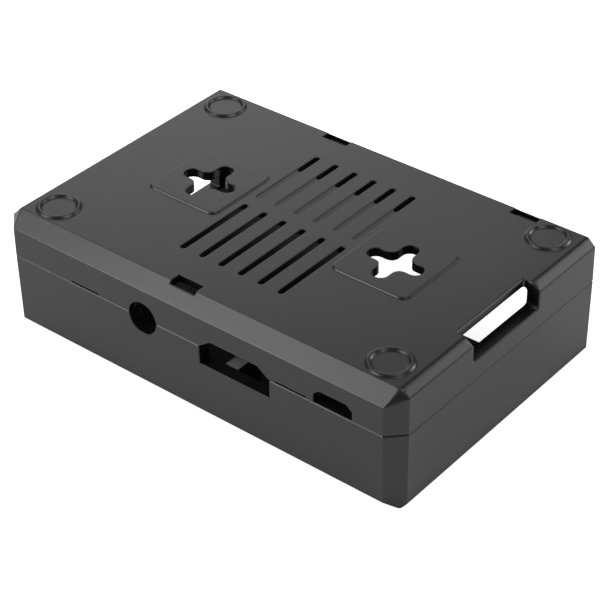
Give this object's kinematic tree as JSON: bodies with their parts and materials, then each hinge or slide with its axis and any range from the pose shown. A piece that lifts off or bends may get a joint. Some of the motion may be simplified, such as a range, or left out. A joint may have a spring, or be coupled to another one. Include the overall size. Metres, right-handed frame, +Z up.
{
  "type": "single board computer case",
  "caption": "Two-part black moulded case for a single board computer, upside down: vent slots, cross keyholes, foot rings, snap windows, card notch and connector openings.",
  "frame": {"origin": "on the flat face that the case rests on, under the middle of its outline; the case lies on its top shell, upside down, as in the picture", "axes": "+Z up towards the base shell's outer face; +X along the length, towards the memory card end; -Y towards the long side with the power, video and audio openings"},
  "size_m": [0.0914, 0.0618, 0.025],
  "materials": {
    "base_shell": "fine satin moulded black plastic",
    "top_shell": "fine satin moulded black plastic"
  },
  "bodies": {
    "top_shell": {"top_shell": "top_shell"},
    "base_shell": {"base_shell": "base_shell"}
  },
  "joints": [
    {"name": "base_lift", "type": "slide", "parent": "top_shell", "child": "base_shell", "axis": [0, 0, 1], "range_m": [0, 0.03]}
  ]
}
